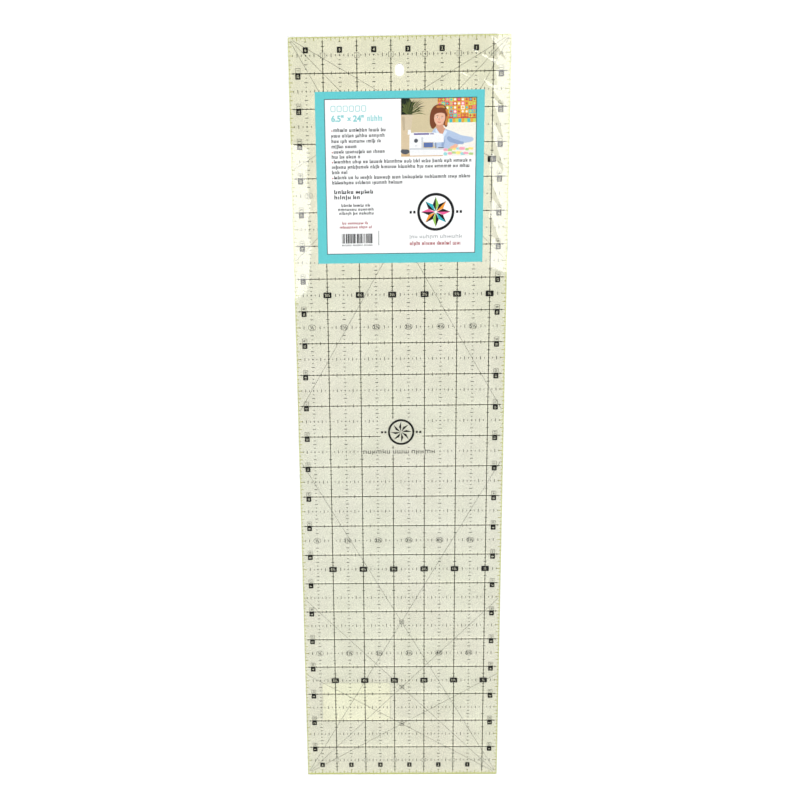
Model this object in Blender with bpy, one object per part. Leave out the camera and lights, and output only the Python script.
"""Quilting ruler: a clear acrylic plate in its clear sales sleeve, with a label card behind the film.

The ruler lies on its back. +Z points up out of its front, +Y towards the end with the hang slot and
+X to the right. The origin is at the middle of the underside. All sizes are in metres.
"""

from dataclasses import dataclass

import bmesh
import bpy
from mathutils import Matrix, Vector

INCH = 0.0254

# Ruler plate
PLATE_WIDTH = 6.5 * INCH
PLATE_LENGTH = 24 * INCH
PLATE_THICKNESS = 0.003
PLATE_CORNER_RADIUS = 0.0008
PLATE_EDGE_BEVEL = 0.0002

# Hang slot, measured from the plate's upper end to the middle of the slot
SLOT_WIDTH = 0.0062
SLOT_HEIGHT = 0.0090
SLOT_FROM_END = 0.0240
SLOT_END_SEGMENTS = 10
FILM_HOLE_MARGIN = 0.0006

# Non-slip film on the back of the plate
GRIP_FILM_THICKNESS = 0.0002
GRIP_FILM_INSET = 0.0003

# Paper sticker on the back, placed from the plate's left side and lower end
STICKER_WIDTH = 0.0580
STICKER_HEIGHT = 0.0355
STICKER_THICKNESS = 0.00015
STICKER_CORNER_RADIUS = 0.0015
STICKER_FROM_SIDE = 0.0142
STICKER_FROM_LOWER_END = 0.0504

# Label card in front of the plate, placed from the plate's upper end
CARD_WIDTH = 5 * INCH
CARD_HEIGHT = 5 * INCH
CARD_THICKNESS = 0.00045
CARD_CORNER_RADIUS = 0.0003
CARD_FROM_UPPER_END = 0.0388

# Clear sleeve: two films, a seam along each side and a seal across the lower end. The upper end is open.
SLEEVE_FILM_THICKNESS = 0.0002
SLEEVE_SLACK = 0.0002
SIDE_SEAM_WIDTH = 0.0003
END_SEAL_WIDTH = 0.0012

# Clearance between pieces that lie against each other
LAYER_GAP = 0.0003

CUTTER_OVERSHOOT = 0.002


@dataclass
class Layer:
    """One flat layer of the stack, between two heights."""

    bottom: float
    thickness: float

    @property
    def top(self):
        return self.bottom + self.thickness

    @property
    def middle(self):
        return self.bottom + self.thickness / 2

    def next_layer(self, thickness, gap=LAYER_GAP):
        return Layer(self.top + gap, thickness)


back_film = Layer(0.0, SLEEVE_FILM_THICKNESS)
sticker = back_film.next_layer(STICKER_THICKNESS)
grip_film = sticker.next_layer(GRIP_FILM_THICKNESS)
plate = grip_film.next_layer(PLATE_THICKNESS)
card = plate.next_layer(CARD_THICKNESS)
front_film = card.next_layer(SLEEVE_FILM_THICKNESS, LAYER_GAP + SLEEVE_SLACK)

UPPER_END_Y = PLATE_LENGTH / 2
LOWER_END_Y = -PLATE_LENGTH / 2
SLOT_CENTRE_Y = UPPER_END_Y - SLOT_FROM_END
SLEEVE_WIDTH = PLATE_WIDTH + 2 * (LAYER_GAP + SIDE_SEAM_WIDTH)
SLEEVE_LENGTH = PLATE_LENGTH + 2 * (LAYER_GAP + END_SEAL_WIDTH)


def clear_scene():
    for old in list(bpy.data.objects):
        bpy.data.objects.remove(old, do_unlink=True)


def make_material(name, colour, roughness, alpha=1.0):
    material = bpy.data.materials.new(name)
    material.use_nodes = True
    material.diffuse_color = (*colour, alpha)
    shader = material.node_tree.nodes["Principled BSDF"]
    shader.inputs["Base Color"].default_value = (*colour, 1.0)
    shader.inputs["Roughness"].default_value = roughness
    shader.inputs["Metallic"].default_value = 0.0
    shader.inputs["Alpha"].default_value = alpha
    return material


def make_empty(name, location=(0.0, 0.0, 0.0), parent=None):
    empty = bpy.data.objects.new(name, None)
    empty.empty_display_size = 0.02
    empty.location = location
    empty.parent = parent
    bpy.context.scene.collection.objects.link(empty)
    return empty


def upright_edges(bm):
    """The edges that run along Z."""
    return [edge for edge in bm.edges if abs(edge.verts[0].co.z - edge.verts[1].co.z) > 1e-6]


def slab_mesh(name, width, height, thickness, corner_radius=0.0, corner_segments=4):
    """A flat slab centred on its origin, with its four upright corners rounded."""
    bm = bmesh.new()
    bmesh.ops.create_cube(bm, size=1.0, matrix=Matrix.Diagonal((width, height, thickness, 1.0)))
    if corner_radius > 0:
        bmesh.ops.bevel(
            bm,
            geom=upright_edges(bm),
            offset=corner_radius,
            segments=corner_segments,
            profile=0.5,
            affect="EDGES",
        )
    bmesh.ops.remove_doubles(bm, verts=bm.verts, dist=1e-6)
    bmesh.ops.recalc_face_normals(bm, faces=bm.faces)
    mesh = bpy.data.meshes.new(name)
    bm.to_mesh(mesh)
    bm.free()
    return mesh


def place(name, mesh, location, parent, material=None):
    piece = bpy.data.objects.new(name, mesh)
    piece.location = Vector(location) - parent.matrix_world.translation
    piece.parent = parent
    if material is not None:
        mesh.materials.append(material)
    bpy.context.scene.collection.objects.link(piece)
    return piece


def make_slot_cutter(name, margin=0.0):
    """An oblong prism with fully round ends, tall enough to pass through every layer."""
    width = SLOT_WIDTH + 2 * margin
    height = SLOT_HEIGHT + 2 * margin
    depth = front_film.top - back_film.bottom + 2 * CUTTER_OVERSHOOT
    almost_full_round = width / 2 * 0.999
    mesh = slab_mesh(name, width, height, depth, almost_full_round, SLOT_END_SEGMENTS)
    cutter = bpy.data.objects.new(name, mesh)
    cutter.location = (0.0, SLOT_CENTRE_Y, (front_film.top + back_film.bottom) / 2)
    cutter.display_type = "WIRE"
    cutter.hide_render = True
    bpy.context.scene.collection.objects.link(cutter)
    return cutter


def cut_slot(piece, cutter):
    boolean = piece.modifiers.new("hang_slot", "BOOLEAN")
    boolean.operation = "DIFFERENCE"
    boolean.solver = "EXACT"
    boolean.object = cutter


def soften_edges(piece, width):
    bevel = piece.modifiers.new("polished_edges", "BEVEL")
    bevel.width = width
    bevel.segments = 1
    bevel.limit_method = "ANGLE"
    bevel.angle_limit = 1.0


def build_ruler(parent, plate_cutter, film_cutter):
    """The plate, the non-slip film on its back and the paper sticker on that film."""
    acrylic = make_material("pale_yellow_green_acrylic", (0.79, 0.79, 0.61), 0.08, alpha=0.55)
    grip = make_material("clear_non_slip_film", (0.88, 0.88, 0.82), 0.55, alpha=0.35)
    paper = make_material("sticker_paper", (0.86, 0.86, 0.72), 0.7)

    mesh = slab_mesh("ruler_plate", PLATE_WIDTH, PLATE_LENGTH, PLATE_THICKNESS, PLATE_CORNER_RADIUS)
    ruler_plate = place("ruler_plate", mesh, (0.0, 0.0, plate.middle), parent, acrylic)
    soften_edges(ruler_plate, PLATE_EDGE_BEVEL)
    cut_slot(ruler_plate, plate_cutter)

    film_width = PLATE_WIDTH - 2 * GRIP_FILM_INSET
    film_length = PLATE_LENGTH - 2 * GRIP_FILM_INSET
    mesh = slab_mesh("non_slip_film", film_width, film_length, GRIP_FILM_THICKNESS, PLATE_CORNER_RADIUS)
    non_slip_film = place("non_slip_film", mesh, (0.0, 0.0, grip_film.middle), parent, grip)
    cut_slot(non_slip_film, film_cutter)

    mesh = slab_mesh("back_sticker", STICKER_WIDTH, STICKER_HEIGHT, STICKER_THICKNESS, STICKER_CORNER_RADIUS)
    sticker_x = -PLATE_WIDTH / 2 + STICKER_FROM_SIDE + STICKER_WIDTH / 2
    sticker_y = LOWER_END_Y + STICKER_FROM_LOWER_END + STICKER_HEIGHT / 2
    place("back_sticker", mesh, (sticker_x, sticker_y, sticker.middle), parent, paper)


def build_card(parent):
    board = make_material("printed_paperboard", (0.11, 0.62, 0.65), 0.45)
    mesh = slab_mesh("label_card", CARD_WIDTH, CARD_HEIGHT, CARD_THICKNESS, CARD_CORNER_RADIUS)
    place("label_card", mesh, (0.0, parent.location.y, card.middle), parent, board)


def build_sleeve(parent, film_cutter):
    """The sleeve's two films and the narrow strips that join them along three sides."""
    polythene = make_material("clear_polythene", (0.95, 0.96, 0.95), 0.12, alpha=0.2)

    for name, layer in (("sleeve_back_film", back_film), ("sleeve_front_film", front_film)):
        mesh = slab_mesh(name, SLEEVE_WIDTH, SLEEVE_LENGTH, SLEEVE_FILM_THICKNESS)
        film = place(name, mesh, (0.0, 0.0, layer.middle), parent, polythene)
        cut_slot(film, film_cutter)

    seam_bottom = back_film.top + LAYER_GAP
    seam_top = front_film.bottom - LAYER_GAP
    seam_height = seam_top - seam_bottom
    seam_z = (seam_top + seam_bottom) / 2
    for name, side in (("sleeve_left_seam", -1), ("sleeve_right_seam", 1)):
        mesh = slab_mesh(name, SIDE_SEAM_WIDTH, PLATE_LENGTH, seam_height)
        x = side * (SLEEVE_WIDTH - SIDE_SEAM_WIDTH) / 2
        place(name, mesh, (x, 0.0, seam_z), parent, polythene)

    mesh = slab_mesh("sleeve_end_seal", SLEEVE_WIDTH, END_SEAL_WIDTH, seam_height)
    seal_y = -(SLEEVE_LENGTH - END_SEAL_WIDTH) / 2
    place("sleeve_end_seal", mesh, (0.0, seal_y, seam_z), parent, polythene)


def main():
    clear_scene()
    ruler = make_empty("ruler")
    card_middle_y = UPPER_END_Y - CARD_FROM_UPPER_END - CARD_HEIGHT / 2
    card_slide = make_empty("card_slide", (0.0, card_middle_y, card.middle), ruler)
    sleeve_slide = make_empty("sleeve_slide", (0.0, 0.0, 0.0), ruler)
    bpy.context.view_layer.update()

    plate_cutter = make_slot_cutter("plate_slot_cutter")
    film_cutter = make_slot_cutter("film_slot_cutter", FILM_HOLE_MARGIN)
    build_ruler(ruler, plate_cutter, film_cutter)
    build_card(card_slide)
    build_sleeve(sleeve_slide, film_cutter)


main()
